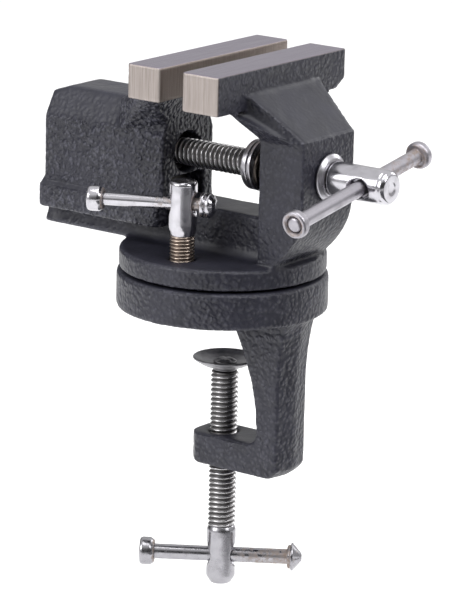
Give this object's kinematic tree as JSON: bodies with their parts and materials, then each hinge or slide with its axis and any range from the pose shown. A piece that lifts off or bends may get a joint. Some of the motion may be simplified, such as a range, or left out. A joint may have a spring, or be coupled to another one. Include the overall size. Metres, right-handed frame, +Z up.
{
  "type": "bench vise",
  "caption": "Small bench vise with a swivelling body, a sliding front jaw on a hand screw, a swivel lock screw and a screw clamp for a table edge.",
  "frame": {"origin": "on the swivel axis, at the seat under the lower disc that lies on the table top", "axes": "+X along the main screw towards its handle, +Y along the jaws, +Z up"},
  "size_m": [0.1456, 0.0816, 0.195],
  "materials": {
    "enamel": "dark blue-grey hammered enamel over rough castings",
    "chrome": "bright plating, dulled in places, slight rust at the ends",
    "bright_steel": "turned or ground bright steel",
    "dark_steel": "dark oiled steel",
    "cast_iron": "bare cast iron"
  },
  "bodies": {
    "clamp": {"clamp_frame": "enamel"},
    "swivel": {"swivel_body": "enamel", "pivot_bolt": "dark_steel", "pivot_washer": "bright_steel", "spindle_collar": "bright_steel", "spindle_spring": "dark_steel", "spring_washer": "bright_steel"},
    "jaw": {"moving_jaw": "enamel", "spindle_nut": "cast_iron", "nut_screw": "dark_steel"},
    "main_screw": {"spindle": "chrome", "stop_ring": "bright_steel", "stop_pin": "dark_steel"},
    "main_bar": {"spindle_bar": "bright_steel", "spindle_bar_cap": "bright_steel"},
    "lock": {"lock_screw": "chrome"},
    "lock_handle": {"lock_bar": "chrome", "lock_bar_cap": "chrome"},
    "pad": {"clamp_pad": "dark_steel"},
    "clamp_spindle": {"clamp_screw": "chrome"},
    "clamp_handle": {"clamp_bar": "chrome", "clamp_bar_cap": "chrome"}
  },
  "joints": [
    {"name": "swivel_turn", "type": "hinge", "parent": "clamp", "child": "swivel", "pos_m": [0, 0, 0], "axis": [0, 0, 1], "continuous": true},
    {"name": "jaw_slide", "type": "slide", "parent": "swivel", "child": "jaw", "axis": [1, 0, 0], "range_m": [-0.033, 0.0093]},
    {"name": "spindle_turn", "type": "hinge", "parent": "swivel", "child": "main_screw", "pos_m": [0, 0, 0.0534], "axis": [1, 0, 0], "range_deg": [-1676, 5942]},
    {"name": "spindle_bar_slide", "type": "slide", "parent": "main_screw", "child": "main_bar", "axis": [0, 0.9869, 0.1616], "range_m": [-0.023, 0.0325]},
    {"name": "lock_turn", "type": "hinge", "parent": "swivel", "child": "lock", "pos_m": [0, -0.024, 0.041], "axis": [0, 0, 1], "range_deg": [-20, 150]},
    {"name": "lock_bar_slide", "type": "slide", "parent": "lock", "child": "lock_handle", "axis": [0.8988, 0.4384, 0], "range_m": [-0.001, 0.011]},
    {"name": "clamp_slide", "type": "slide", "parent": "clamp", "child": "pad", "axis": [0, 0, 1], "range_m": [-0.02, 0.0104]},
    {"name": "clamp_turn", "type": "hinge", "parent": "pad", "child": "clamp_spindle", "pos_m": [0.002, 0, -0.0935], "axis": [0, 0, 1], "range_deg": [-4002, 2082]},
    {"name": "clamp_bar_slide", "type": "slide", "parent": "clamp_spindle", "child": "clamp_handle", "axis": [0.8387, 0.5446, 0], "range_m": [-0.0182, 0.0182]}
  ],
  "couplings": [
    {"joint": "spindle_turn", "follows": "jaw_slide", "rad_per_m": -3141.6},
    {"joint": "clamp_turn", "follows": "clamp_slide", "rad_per_m": 3490.7}
  ]
}
